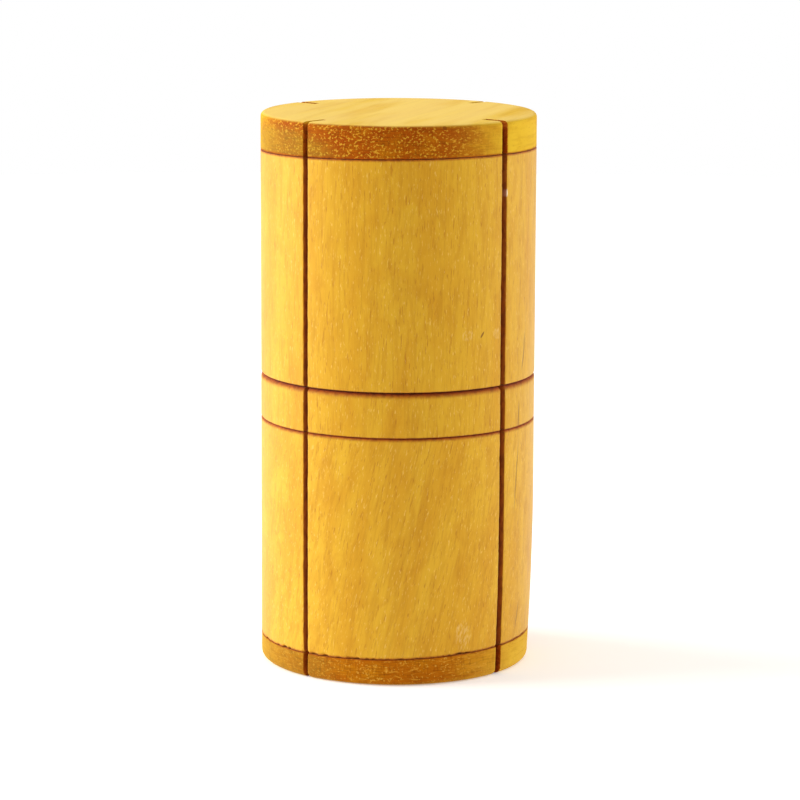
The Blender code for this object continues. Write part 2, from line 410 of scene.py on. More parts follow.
class WoodShader:
    """A wood's shader while it is put together: each layer is laid over the colour so far."""

    def __init__(self, finish: WoodFinish, tree: bpy.types.NodeTree) -> None:
        """Starts from the wood's colour, darkened where it shows its end grain.

        End grain is where the surface faces along the grain: the size of the dot product of the
        two directions. Its cut pores drink more oil, so it multiplies the colour. A level face is
        one whose normal points up.

        Args:
            finish: The finish to build.
            tree: The material's tree.
        """
        self.finish = finish
        self.tree = tree
        self.add = partial(add_node, tree)
        self.relief: bpy.types.NodeSocket | float = 0.0
        self.turn = Vector(finish.grain).to_track_quat("Z", "Y").to_euler()
        self.place = self.add("TexCoord", out="Object")
        normal = self.add("TexCoord", out="Normal")
        facing = self.add("VectorMath", {0: normal, 1: finish.grain}, "Value", operation="DOT_PRODUCT")
        either_way = self.add("Math", {0: facing}, operation="ABSOLUTE")
        ramp = {"Value": either_way, "From Min": finish.end_start, "From Max": finish.end_full}
        end = self.add("MapRange", ramp)
        side = self.add("Math", {0: 1.0, 1: end}, operation="SUBTRACT")
        # Mask of the upward faces, where a pale tone is painted as the sheen of the lit top.
        upward = self.add("VectorMath", {0: normal, 1: (0.0, 0.0, 1.0)}, "Value", operation="DOT_PRODUCT")
        level = self.add("MapRange", {"Value": upward, "From Min": LEVEL_START, "From Max": LEVEL_FULL})
        self.faces = {Face.SIDE: side, Face.END: end, Face.LEVEL_PAINTED_SHEEN: level}
        layers = {MIX_FACTOR: end, MIX_UNDER: linear(finish.colour), MIX_OVER: linear(finish.end_colour)}
        self.colour = self.add("Mix", layers, MIX_RESULT, data_type="RGBA", blend_type="MULTIPLY")

    def lay(self, mask: bpy.types.NodeSocket, strength: float, colour: str, relief_mm: float = 0.0) -> None:
        """Lays a colour over the wood, and raises or sinks the surface there.

        Args:
            mask: Where, from 0 to 1.
            strength: How much of the colour covers the wood at 1.
            colour: The colour.
            relief_mm: Height of the surface at 1.
        """
        amount = self.add("Math", {0: mask, 1: strength}, operation="MULTIPLY")
        layers = {MIX_FACTOR: amount, MIX_UNDER: self.colour, MIX_OVER: linear(colour)}
        self.colour = self.add("Mix", layers, MIX_RESULT, data_type="RGBA")
        if relief_mm:
            terms = {0: mask, 1: relief_mm * MM, 2: self.relief}
            self.relief = self.add("Math", terms, operation="MULTIPLY_ADD")

    def streaks(self, figure: Figure, shift_mm: float) -> bpy.types.NodeSocket:
        """Noise drawn out along the grain, where it passes the figure's threshold.

        Args:
            figure: The figure.
            shift_mm: How far the noise is moved, so that no two are alike.

        Returns:
            The mask's socket.
        """
        where = {
            "Vector": self.place,
            "Location": (shift_mm * MM,) * 3,
            "Rotation": self.turn,
            "Scale": [size * MM for size in figure.size_mm],
        }
        grain_space = self.add("Mapping", where, vector_type="TEXTURE")
        look = {"Vector": grain_space, "Scale": 1.0, "Detail": figure.detail, "Distortion": figure.stir}
        noise = self.add("TexNoise", look)
        ramp = {"Value": noise, "From Min": figure.start, "From Max": figure.full}
        return self.add("MapRange", ramp, interpolation_type="SMOOTHSTEP")

    def figure(self) -> None:
        """Lays each figure over the base, on the faces that it shows on."""
        for number, figure in enumerate(self.finish.figures):
            mask = self.streaks(figure, self.finish.seed + FIGURE_SHIFT_MM * number)
            if figure.face in self.faces:
                mask = self.add("Math", {0: mask, 1: self.faces[figure.face]}, operation="MULTIPLY")
            self.lay(mask, figure.strength, figure.colour, figure.relief_mm)

    def blemishes(self) -> None:
        """Lays each blemish over the figure.

        Its mask is a ball of 1 at the middle and 0 at the edge, squeezed to its sizes and turned
        to its place on the skin, after noise has pushed the point about.
        """
        skin = half_width("upper_barrel")
        for blemish in self.finish.blemishes:
            angle = math.radians(blemish.degrees)
            drift = self.add("TexNoise", {"Vector": self.place, "Scale": 1.0 / DRIFT_SIZE}, "Color")
            push = (2.0 * blemish.wander_mm * MM,) * 3
            pushed = self.add("VectorMath", {0: drift, 1: push, 2: self.place}, operation="MULTIPLY_ADD")
            middle = Vector((skin * math.cos(angle), skin * math.sin(angle), blemish.height_mm * MM))
            half_sizes = (max(LEAST_DEPTH_MM, blemish.across_mm), blemish.across_mm, blemish.tall_mm)
            where = {
                "Vector": pushed,
                "Location": middle + Vector(push) / 2,
                "Rotation": (math.radians(-blemish.lean_degrees), 0.0, angle),
                "Scale": [size * MM for size in half_sizes],
            }
            local = self.add("Mapping", where, vector_type="TEXTURE")
            ball = self.add("TexGradient", {"Vector": local}, "Fac", gradient_type="SPHERICAL")
            ramp = {"Value": ball, "From Max": BALL_FULL}
            mask = self.add("MapRange", ramp, interpolation_type="SMOOTHSTEP")
            if blemish.broken:
                flecks = self.streaks(RUBBED_FLECKS, blemish.degrees)
                mask = self.add("Math", {0: mask, 1: flecks}, operation="MULTIPLY")
            self.lay(mask, blemish.strength, blemish.colour, blemish.relief_mm)

    def saw_scorch_and_seam_shade(self) -> bpy.types.NodeSocket:
        """Lays saw scorch in the kerfs, saw scorch with painted shade by the seams, and darker patches in
        both.

        Returns:
            The roughness, which is higher where the wood is scorched.
        """
        # The scorch mark: saw scorch in the kerfs, and saw scorch with painted shade by the seams.
        scorch_and_seam_shade = self.add("Attribute", out="Fac", attribute_name="scorch_and_seam_shade")
        self.lay(scorch_and_seam_shade, 1.0, SCORCH_AND_SHADE_BROWN)
        charred = self.streaks(CHARRED_PATCHES, CHARRED_SHIFT_MM)
        patches = self.add("Math", {0: scorch_and_seam_shade, 1: charred}, operation="MULTIPLY")
        self.lay(patches, CHARRED_PATCHES.strength, CHARRED_PATCHES.colour)
        ramp = {"Value": scorch_and_seam_shade, "To Min": self.finish.roughness, "To Max": SCORCHED_ROUGHNESS}
        return self.add("MapRange", ramp)

    def build(self) -> None:
        """Lays all the layers, bare wood under the figure, and joins them to the shader."""
        sockets = self.tree.nodes["Principled BSDF"].inputs
        if self.finish.sawn:
            self.lay(self.add("Attribute", out="Fac", attribute_name="raw"), 1.0, BARE_TAN)
        self.figure()
        self.blemishes()
        sockets["Roughness"].default_value = self.finish.roughness
        if self.finish.sawn:
            self.tree.links.new(self.saw_scorch_and_seam_shade(), sockets["Roughness"])
        self.tree.links.new(self.colour, sockets["Base Color"])
        sockets["Specular IOR Level"].default_value = self.finish.specular
        sockets["Sheen Weight"].default_value = self.finish.nap
        bump = self.add("Bump", {"Height": self.relief, "Strength": 1.0, "Distance": 1.0})
        self.tree.links.new(bump, sockets["Normal"])


def level_grain(azimuth_degrees: float) -> tuple[float, float, float]:
    """A level grain direction, from the azimuth that it points at."""
    angle = math.radians(azimuth_degrees)
    return (math.sin(angle), -math.cos(angle), 0.0)


def leaning_grain(degrees: float) -> tuple[float, float, float]:
    """A nearly upright grain direction, which leans to the right as seen from the front."""
    aside = math.sin(math.radians(degrees))
    return (math.cos(VIEW_AZIMUTH) * aside, math.sin(VIEW_AZIMUTH) * aside, math.cos(math.radians(degrees)))


def crack(
    degrees: float,
    height_mm: float,
    sizes_mm: tuple[float, float],
    strength: float,
    lean: float,
    wander_mm: float,
) -> Blemish:
    """A hair crack along the grain: brown with trapped oil, and sunk."""
    return Blemish(degrees, height_mm, *sizes_mm, CRACK_BROWN, strength, lean, wander_mm, relief_mm=-0.04)


def rubbed(degrees: float, height_mm: float, sizes_mm: tuple[float, float], strength: float) -> Blemish:
    """A spot where handling has rubbed the oil off the high fibres, so it is pale in flecks."""
    return Blemish(degrees, height_mm, *sizes_mm, RUBBED_FLECKS.colour, strength, broken=True)


BARE_TAN = "#D2A262"
CRACK_BROWN = "#7A4A10"
# Brown of the saw scorch in the kerfs, also painted by the seams as shade.
SCORCH_AND_SHADE_BROWN = "#A24204"
CHARRED_PATCHES = Figure((0.8, 0.8, 1.6), 0.42, 0.62, 0.5, "#541800", detail=4.0)
RUBBED_FLECKS = Figure((0.3, 0.3, 0.9), 0.42, 0.66, 1.0, "#F2D48C", detail=3.0)

# Sanded skin, from its broad tone down to its pores. Real pores are about 0.1 mm across, and are
# drawn at 0.2 mm so that they show.
SKIN_FIGURES = (
    Figure((7.0, 7.0, 40.0), 0.38, 0.66, 0.46, "#CA8A00", stir=0.6),
    Figure((3.0, 3.0, 6.0), 0.44, 0.70, 0.36, "#C48600", detail=3.0, stir=0.8),
    Figure((1.1, 1.1, 11.0), 0.46, 0.68, 0.34, "#B87C00", -0.008, detail=4.0, stir=0.8),
    Figure((0.34, 0.34, 5.0), 0.50, 0.72, 0.30, "#B27600", detail=3.0, stir=0.5),
    Figure((0.26, 0.26, 2.0), 0.60, 0.72, 0.50, "#A45C00", -0.008, stir=0.4),
    Figure((0.24, 0.24, 1.1), 0.60, 0.74, 0.44, "#F4D070", 0.004),
)

# Level grain: streaks and pores on the side grain, dark rays both ways on the cut ends, and painted
# sheen: a pale tone on the level top. Each cap adds its own broad tones and pale pore specks to its ends.
CAP_FIGURES = (
    Figure((5.0, 5.0, 60.0), 0.38, 0.68, 0.35, "#C88A0C"),
    Figure((0.9, 0.9, 14.0), 0.46, 0.70, 0.30, "#B67E0A", -0.006, detail=4.0, stir=0.6, face=Face.SIDE),
    Figure((0.24, 0.24, 2.0), 0.62, 0.74, 0.45, "#985A08", -0.012, face=Face.SIDE),
    Figure((2.4, 0.26, 4.0), 0.48, 0.66, 0.45, "#6E3400", face=Face.END),
    Figure((0.26, 1.6, 4.0), 0.50, 0.68, 0.40, "#6E3400", face=Face.END),
    # Painted sheen: a pale tone on the upward faces stands in for the light on the caps' lit top.
    Figure((6.0, 6.0, 30.0), 0.15, 0.60, 0.62, "#ECCE76", face=Face.LEVEL_PAINTED_SHEEN),
)
TOP_END_FIGURES = (
    Figure((3.2, 1.4, 30.0), 0.40, 0.64, 0.55, "#963E00", stir=0.5, face=Face.END),
    Figure((0.42, 0.36, 5.0), 0.55, 0.66, 0.62, "#DEA830", -0.010, detail=1.0, stir=0.3, face=Face.END),
)
BOTTOM_END_FIGURES = (
    Figure((3.6, 2.0, 30.0), 0.40, 0.64, 0.45, "#A85A00", detail=3.0, stir=0.9, face=Face.END),
    Figure((1.5, 0.7, 8.0), 0.54, 0.70, 0.50, "#DCA030", detail=3.0, stir=1.0, face=Face.END),
    Figure((0.40, 0.36, 5.0), 0.60, 0.70, 0.55, "#E0AC40", -0.010, detail=1.0, stir=0.3, face=Face.END),
)


def inner_figures(dark: str, pale: str) -> tuple[Figure, ...]:
    """The figure of a plain inner wood: a broad tone, fine streaks, pores and pale flecks."""
    return (
        Figure((4.0, 4.0, 40.0), 0.35, 0.70, 0.40, dark),
        Figure((0.45, 0.45, 10.0), 0.42, 0.70, 0.35, dark, -0.010, detail=3.0),
        Figure((0.24, 0.24, 1.8), 0.60, 0.74, 0.50, dark, -0.030, detail=1.0),
        Figure((0.25, 0.25, 1.2), 0.60, 0.74, 0.40, pale, detail=1.0),
    )


# Rubberwood with upright grain, turned, sanded and thinly oiled: straw yellow with a satin skin.
UPPER_WOOD = WoodFinish(
    "rubberwood_sanded_oiled_upper",
    "body_wood",
    "#D7A41E",
    SKIN_FIGURES,
    grain=leaning_grain(1.5),
    nap=0.08,
    sawn=True,
    blemishes=(
        crack(16.0, 58.4, (0.26, 4.4), 0.6, 10.0, 0.35),
        rubbed(-19.0, 63.2, (1.5, 1.4), 0.32),
        rubbed(-3.0, 62.8, (1.8, 1.2), 0.36),
        Blemish(-12.0, 62.9, 0.24, 0.8, "#7A4A06", 0.8, lean_degrees=35.0, relief_mm=-0.03),
        Blemish(1.2, 87.7, 0.45, 0.9, "#FFF0C8", 0.9, relief_mm=0.03),
    ),
)
RING_WOOD = replace(
    UPPER_WOOD,
    name="rubberwood_sanded_oiled_ring",
    grain=leaning_grain(2.0),
    blemishes=(crack(12.0, 46.8, (0.24, 3.2), 0.6, 4.0, 0.3),),
)

# The lower barrel's grain leans, so its pores meet the skin aslant and show as short dashes.
LOWER_WOOD = replace(
    UPPER_WOOD,
    name="rubberwood_sanded_oiled_lower",
    colour="#DBA822",
    seed=40.0,
    grain=leaning_grain(12.0),
    blemishes=(
        crack(10.5, 36.0, (0.24, 8.0), 0.5, 6.0, 0.4),
        crack(14.0, 10.0, (0.22, 3.0), 0.5, 12.0, 0.3),
        rubbed(-20.0, 8.6, (2.0, 3.2), 0.34),
    ),
)

# The caps' grain lies level, so their cut ends drank the oil and show dark and speckled. Each has
# a dull patch on its left side and a dry, matt skin.
DULL_OLIVE = "#8E7A24"
TOP_CAP_WOOD = WoodFinish(
    "rubberwood_end_grain_top",
    "cap_wood",
    "#DAB028",
    CAP_FIGURES + TOP_END_FIGURES,
    grain=level_grain(22.0),
    end_colour="#C47A1C",
    end_start=0.32,
    end_full=0.80,
    roughness=0.75,
    specular=0.05,
    nap=0.02,
    sawn=True,
    blemishes=(
        Blemish(-30.0, 100.0, 0.5, 0.35, "#8A4A0C", 0.9, relief_mm=-0.08),
        Blemish(-108.0, 94.5, 17.0, 6.0, DULL_OLIVE, 0.40),
    ),
)
BOTTOM_CAP_WOOD = replace(
    TOP_CAP_WOOD,
    name="rubberwood_end_grain_bottom",
    colour="#DAAE34",
    figures=CAP_FIGURES + BOTTOM_END_FIGURES,
    seed=50.0,
    grain=level_grain(27.0),
    end_colour="#D09424",
    end_start=0.28,
    end_full=0.82,
    blemishes=(Blemish(-108.0, 2.5, 17.0, 6.0, DULL_OLIVE, 0.36),),
)

# Beech, turned and left bare: dry and matt, with a pinkish tan and short dark flecks.
GATE_WOOD = WoodFinish(
    "beech_turned_bare",
    "gate_wood",
    "#D8B07C",
    inner_figures("#A8763E", "#EAD2A6"),
    end_colour="#D8BC98",
    roughness=0.7,
)

# Maple, bored and turned, left bare: a smooth tan with a faint upright streak.
TUBE_WOOD = WoodFinish(
    "maple_turned_bare",
    "tube_wood",
    "#D2A468",
    inner_figures("#9E6E38", "#E8CB98"),
    end_colour="#D8BC98",
    roughness=0.65,
)

# Walnut dowel, cut to length: dark brown with fine black pores.
DOWEL_WOOD = WoodFinish(
    "walnut_dowel",
    "dowel_wood",
    "#7E4E26",
    inner_figures("#4A2A12", "#A2703E"),
    end_colour="#B89878",
)

# Walnut, turned and waxed where fingers hold it: the same brown, with a soft shine.
STOPPER_WOOD = WoodFinish(
    "walnut_turned_waxed",
    "stopper_wood",
    "#744622",
    inner_figures("#43260F", "#996A3A"),
    end_colour="#B89878",
    roughness=0.38,
    specular=0.5,
)


# ---------------------------------------------------------------- cuts

CUT_FROM = 5.0 * MM
CUT_TO = 18.0 * MM
DRILL_STEPS = 40


@dataclass(frozen=True)
class BoxCut:
    """A sawn gap or notch through the side of an inner piece, square to a radius of the box."""

    turn: float
    width: float
    bottom: float
    top: float

    def shape(self) -> tuple[Array, list]:
        """A box from inside the bore to outside the rim, before it is turned.

        Returns:
            Its points and its faces, which look outwards.
        """
        corners = np.array([[x, y, z] for x in (0, 1) for y in (0, 1) for z in (0, 1)], float)
        low = np.array([CUT_FROM, -self.width / 2, self.bottom])
        high = np.array([CUT_TO, self.width / 2, self.top])
        faces = [(0, 1, 3, 2), (4, 6, 7, 5), (0, 4, 5, 1), (2, 3, 7, 6), (0, 2, 6, 4), (1, 5, 7, 3)]
        return low + corners * (high - low), faces


@dataclass(frozen=True)
class DrillCut:
    """A drilled hole through the side of an inner piece, along a radius of the box."""

    turn: float
    radius: float
    height: float

    def shape(self) -> tuple[Array, list]:
        """A rod from inside the bore to outside the rim, before it is turned.

        Returns:
            Its points and its faces, which look outwards.
        """
        angle = np.linspace(0.0, 2 * math.pi, DRILL_STEPS, endpoint=False)
        aside, up = self.radius * np.cos(angle), self.height + self.radius * np.sin(angle)
        points = np.vstack([np.stack([0 * angle + end, aside, up], axis=-1) for end in (CUT_FROM, CUT_TO)])
        index = np.arange(2 * DRILL_STEPS).reshape(2, DRILL_STEPS)
        faces = grid_faces(index)[:, ::-1].tolist()
        return points, [*faces, index[0][::-1].tolist(), index[1].tolist()]


def cut_out(piece: bpy.types.Object, cuts: Sequence[BoxCut | DrillCut]) -> None:
    """Takes cuts out of a piece and keeps the result as its mesh.

    Args:
        piece: The piece to cut.
        cuts: Box and drill cuts.
    """
    cutters = []
    for number, cut in enumerate(cuts):
        points, faces = cut.shape()
        cutters.append(add_mesh(f"cut_{number}", turned(points, cut.turn), faces))
        boolean = piece.modifiers.new(cutters[-1].name, "BOOLEAN")
        boolean.operation = "DIFFERENCE"
        boolean.object = cutters[-1]
        boolean.solver = "EXACT"
    bpy.context.view_layer.update()
    evaluated = piece.evaluated_get(bpy.context.evaluated_depsgraph_get())
    mesh = bpy.data.meshes.new_from_object(evaluated)
    piece.modifiers.clear()
    piece.data = mesh
    for cutter in cutters:
        bpy.data.objects.remove(cutter, do_unlink=True)


# ---------------------------------------------------------------- pieces


@dataclass
class Piece:
    """A wooden piece, which stands for a node of the model and moves with a body."""

    node: str
    body: str
    wood: WoodFinish

    def make(
        self,
        grid: Array,
        looped: bool,
        marks: dict[str, Array] | None = None,
        cuts: Sequence[BoxCut | DrillCut] = (),
    ) -> None:
        """Makes the piece, finishes it, and puts it on its body in place of its node.

        Args:
            grid: Points, as rows by columns by 3.
            looped: Whether the rows close into a loop.
            marks: Float attributes of the points.
            cuts: Gaps and holes to take out.
        """
        piece = surface(f"{self.node}_wood", grid, looped, marks or {})
        if cuts:
            cut_out(piece, cuts)
        piece.data.shade_smooth()
        piece.data.set_sharp_from_angle(angle=SHARP_ANGLE)
        piece.data.materials.clear()
        piece.data.materials.append(self.wood.material())
        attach(piece, self.body)
        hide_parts(self.node)
        LOG.info("%s: %d faces on %s", piece.name, len(piece.data.polygons), self.body)


@dataclass
class SawnOutline:
    """The outline of the box seen from above: a circle with four saw kerfs, on the X and Y axes."""

    floor: float = 20.0 * MM
    half_widths: tuple[float, float] = (0.65 * MM, 0.5 * MM)
    lip: float = 0.12 * MM
    wander: float = 0.06 * MM
    wander_spacing: float = 1.7 * MM
    wander_seed: int = 70
    torn: float = 0.22 * MM
    torn_start: float = 0.35
    torn_spacing: float = 0.45 * MM
    torn_seed: int = 90
    arc_steps: int = 116
    wall: tuple[float, ...] = (0.3, 0.6, 0.85, 1.0)
    wall_scorch: tuple[float, float] = (1.0, 0.8)
    corner_degrees: tuple[float, ...] = (22.5, 45.0, 67.5, 90.0)
    corner_scorch: tuple[float, float] = (0.55, 0.0)
    inner_degrees: tuple[float, float, float] = (2.7, 4.2, 4.8)

    def _side(self, mouth: Array, half: Array, lip: Array) -> tuple[Array, Array]:
        """One side of a kerf, from the middle of its floor out to the skin.

        The floor is a straight line across, the wall runs parallel to the kerf's plane, and a
        quarter circle of the lip's radius turns it into the skin.

        Args:
            mouth: Radius of the skin at the kerf, one for each row.
            half: Half of the kerf's width, one for each row.
            lip: Radius of the lip, one for each row.

        Returns:
            Distances outwards and sideways, as rows by points.
        """
        mouth, half, lip = mouth[:, None], half[:, None], lip[:, None]
        reach = np.sqrt(mouth**2 - (half + lip) ** 2) - lip
        corner = np.radians(self.corner_degrees)
        out = [
            np.full((len(mouth), 2), self.floor),
            self.floor + (reach - self.floor) * np.array(self.wall),
            reach + lip * np.sin(corner),
        ]
        aside = [
            half * np.array([0.5, 1.0]),
            half * np.ones(len(self.wall)),
            half + lip * (1.0 - np.cos(corner)),
        ]
        return np.hstack(out), np.hstack(aside)

    def _kerf(self, quarter: int, radius: Array, height: Array, relief: Relief) -> list[tuple[Array, Array]]:
        """Both sides of a kerf, with a width that wanders and a lip that is torn in places.

        Args:
            quarter: Which of the four kerfs, counted from +X.
            radius: Turned radius of each row.
            height: Height of each row.
            relief: Gives how far the skin stands out at an angle and a height.

        Returns:
            The lower and the upper side in angle, as distances outwards and sideways.
        """
        mouth = radius + relief(np.array([[quarter * QUARTER]]), height[:, None])[:, 0]
        here = np.ones_like(height)
        sides = []
        for sign in (-1, 1):
            number = quarter * 2 + sign
            waver = WrappedNoise(self.wander_seed + number, 3, self.wander_spacing)
            tear = WrappedNoise(self.torn_seed + number, 3, self.torn_spacing)
            half = self.half_widths[quarter % 2] + self.wander * waver(here, height)
            ragged = np.clip(tear(here, height) - self.torn_start, 0.0, 1.0)
            sides.append(self._side(mouth, half, self.lip + self.torn * ragged))
        return sides

    def marks(self) -> tuple[Array, Array]:
        """How scorched each point of the outline is, and the angle that it meets the bore at.

        Returns:
            Scorch from 0 to 1, and angles that rise steadily round the bore.
        """
        floor_end, wall_end, corner_end = self.inner_degrees
        walls, corners = len(self.wall), len(self.corner_degrees)
        side_scorch = np.concatenate([
            [1.0, 1.0],
            np.linspace(*self.wall_scorch, walls),
            np.linspace(*self.corner_scorch, corners),
        ])
        side_angle = np.concatenate([
            [floor_end / 2, floor_end],
            np.linspace(floor_end, wall_end, walls + 1)[1:],
            np.linspace(wall_end, corner_end, corners + 1)[1:],
        ])
        arc = np.linspace(corner_end, 90.0 - corner_end, self.arc_steps + 2)[1:-1]
        one_scorch = np.concatenate([side_scorch[::-1], [1.0], side_scorch, 0 * arc])
        one_angle = np.concatenate([-side_angle[::-1], [0.0], side_angle, arc])
        angle = np.concatenate([one_angle + 90.0 * quarter for quarter in range(4)])
        return np.tile(one_scorch, 4), np.radians(angle)

    def points(self, radius: Array, height: Array, relief: Relief) -> tuple[Array, Array]:
        """The outline at each row of a turned skin: each kerf, and the arc on to the next one.

        Args:
            radius: Turned radius of each row.
            height: Height of each row.
            relief: Gives how far the skin stands out at an angle and a height.

        Returns:
            x and y, as rows by columns.
        """
        kerfs = [self._kerf(quarter, radius, height, relief) for quarter in range(4)]
        middle = np.full((len(radius), 1), self.floor)
        share = np.linspace(0.0, 1.0, self.arc_steps + 2)[None, 1:-1]
        across, along = [], []
        for quarter, ((low_out, low_aside), (high_out, high_aside)) in enumerate(kerfs):
            turn = quarter * QUARTER
            next_out, next_aside = kerfs[(quarter + 1) % 4][0]
            out = np.hstack([low_out[:, ::-1], middle, high_out])
            aside = np.hstack([-low_aside[:, ::-1], 0 * middle, high_aside])
            start = np.arctan2(high_aside[:, -1:], high_out[:, -1:])
            end = QUARTER - np.arctan2(next_aside[:, -1:], next_out[:, -1:])
            angle = turn + start + (end - start) * share
            skin = radius[:, None] + relief(angle, height[:, None])
            across += [out * math.cos(turn) - aside * math.sin(turn), skin * np.cos(angle)]
            along += [out * math.sin(turn) + aside * math.cos(turn), skin * np.sin(angle)]
        return np.hstack(across), np.hstack(along)


class Row(NamedTuple):
    """A row of a shell: a level of its skin, of an end face, or of its bore.

    It lies on the sawn outline where inward is 0, on the bore's circle where it is 1, and on the
    straight line between them elsewhere. Raw is 1 where the wood was never oiled, and tipped is 0
    where the row doesn't follow the tipped seams.
    """

    radius: float
    height: float
    inward: float = 0.0
    bore: float = 0.0
    raw: float = 0.0
    tipped: float = 1.0


BORE_EASE = 0.3 * MM
DUSTED = 0.6
BARE = 1.0
# An end with neither saw scorch nor painted shade.
NO_SCORCH_OR_SHADE = (0.0, 1.0 * MM)
FACE_CIRCLES = (0.0, 5.0 * MM, 11.0 * MM)
SEAM_FADE = 8
KERF_FADE = 2


@dataclass
class Shell(Piece):
    """A sawn outer piece of the box: a barrel or the ring. The caps are shells with closed ends.

    A tilt is the slope of an end along X and Y, which fades out along the skin. A burn is the
    strength of the darkening at an end and how far it reaches: saw scorch on the sawn edge, with
    painted shade fading onto the skin by the seam. A chip is the depth of the crumbled edge. A big
    chip, at the lower end, has its angle and half width in degrees and its depth. The ends grow by
    close_top and close_bottom, which narrow the seams.
    """

    outline: SawnOutline
    bore: float = 16.0 * MM
    ease_top: float = 0.1 * MM
    ease_bottom: float = 0.1 * MM
    tilt_top: tuple[float, float] = (0.0, 0.0)
    tilt_bottom: tuple[float, float] = (0.0, 0.0)
    tilt_fade: float = 6.0 * MM
    skin_rows: int = 128
    crowding: float = 0.1
    waver: float = 0.02 * MM
    fibre: float = 0.007 * MM
    lean_depth: float = 0.0
    lean_height: float = 34.0 * MM
    chip_top: float = 0.0
    chip_bottom: float = 0.0
    chip_reach: float = 0.5 * MM
    chip_start: float = 0.15
    chip_tears: float = 0.5
    big_chip_rough: tuple[float, float] = (0.6, 0.4)
    big_chips: tuple[tuple[float, float, float], ...] = ()
    # Darkening at each end, as strength and reach: saw scorch, with painted shade by the seam.
    scorch_shade_top: tuple[float, float] = (0.8, 0.22 * MM)
    scorch_shade_bottom: tuple[float, float] = (0.8, 0.22 * MM)
    close_top: float = 0.1 * MM
    close_bottom: float = 0.1 * MM
    clean_top: float = 0.0
    seed: int = 1
    looped: ClassVar[bool] = True

    def __post_init__(self) -> None:
        """Takes the piece's place from the frame and seeds its unevenness.

        An end that is tipped is set back until its highest point is where the flat end was.
        """
        low, high = span(self.node)
        self.radius = half_width("upper_barrel")
        self.bottom = low - self.close_bottom + self.radius * math.hypot(*self.tilt_bottom)
        self.top = high + self.close_top - self.radius * math.hypot(*self.tilt_top)
        self.crown = self.radius - self.ease_top
        self.foot = self.radius - self.ease_bottom
        self.broad = WrappedNoise(self.seed, 14, 7.0 * MM)
        self.fine = WrappedNoise(self.seed + 1, 150, 5.0 * MM)
        self.crumbs = WrappedNoise(self.seed + 2, 260, 0.6 * MM)
        self.tears = WrappedNoise(self.seed + 3, 90, 4.0 * MM)

    def relief(self, angle: Array, height: Array) -> Array:
        """How far the skin stands out: never past the turned radius.

        It is the sum of a hand-sanded waver, fine upright grain, a lean foot on one side, and the
        crumbled edges at the seams, where noise over a threshold bites in near the edge.

        Args:
            angle: Angles about Z.
            height: Heights that broadcast with them.

        Returns:
            Offsets, all 0 or less.
        """
        cut = self.waver * (1.0 + self.broad(angle, height)) + self.fibre * (1.0 + self.fine(angle, height))
        facing = np.clip(np.cos(angle - VIEW_AZIMUTH), 0.0, 1.0)
        below = np.clip(1.0 - height / self.lean_height, 0.0, 1.0)
        cut = cut + self.lean_depth * facing * below**2
        crumbs = self.crumbs(angle, height)
        crumble = np.clip(crumbs + self.chip_tears * self.tears(angle, height) - self.chip_start, 0.0, 1.0)
        near_top = smooth_step(1.0 - (self.top - height) / self.chip_reach)
        near_bottom = smooth_step(1.0 - (height - self.bottom) / self.chip_reach)
        cut = cut + crumble * (self.chip_top * near_top + self.chip_bottom * near_bottom)
        mean, swing = self.big_chip_rough
        for degrees, width, depth in self.big_chips:
            away = np.abs((np.degrees(angle) - degrees + 180.0) % 360.0 - 180.0)
            cut = cut + depth * smooth_step(1.0 - away / width) * (mean + swing * crumbs) * near_bottom
        return -cut

    def skin(self) -> list[Row]:
        """The outer skin from the top edge to the bottom edge, with rows closer at both ends.

        Returns:
            Its rows. Their even spacing is bent by a sine of one turn.
        """
        crown = rounding(self.crown, self.top - self.ease_top, self.ease_top, 90.0, 0.0)
        foot = rounding(self.foot, self.bottom + self.ease_bottom, self.ease_bottom, 0.0, -90.0)
        share = np.linspace(0.0, 1.0, self.skin_rows + 2)[1:-1]
        share = share - self.crowding * np.sin(2 * math.pi * share) / (2 * math.pi)
        height = crown[-1, 1] + (foot[0, 1] - crown[-1, 1]) * share
        run = np.stack([np.full(len(height), self.radius), height], axis=-1)
        return [Row(*level) for level in np.vstack([crown, run, foot]).tolist()]

    def rows(self) -> list[Row]:
        """The rows of a ring: its skin, lower face, bore and upper face."""
        mouth = self.bore + BORE_EASE
        inside = np.linspace(self.bottom + BORE_EASE, self.top - BORE_EASE, 9).tolist()
        return [
            *self.skin(),
            *[Row(self.foot, self.bottom, inward, mouth, DUSTED) for inward in (0.1, 0.3, 0.65, 1.0)],
            *[Row(self.foot, height, 1.0, self.bore, BARE) for height in inside],
            *[Row(self.crown, self.top, inward, mouth, DUSTED) for inward in (1.0, 0.65, 0.3, 0.1)],
        ]

    def build(self) -> None:
        """Carries the sawn outline along the rows, tips the ends, and marks the scorched wood, with painted
        shade by the seams.
        """
        columns = np.array(self.rows()).T
        radius, height = columns[:2]
        inward, bore, raw, tipped = columns[2:, :, None]
        scorch_and_seam_shade, inner_angle = self.outline.marks()
        across, along = self.outline.points(radius, height, self.relief)
        across = across * (1 - inward) + bore * np.cos(inner_angle) * inward
        along = along * (1 - inward) + bore * np.sin(inner_angle) * inward
        level = height[:, None]
        depth, rise = self.top - level, level - self.bottom
        for away, (slope_x, slope_y) in ((depth, self.tilt_top), (rise, self.tilt_bottom)):
            tip = tipped * np.maximum(0.0, 1.0 - away / self.tilt_fade)
            level = level + tip * (slope_x * across + slope_y * along)
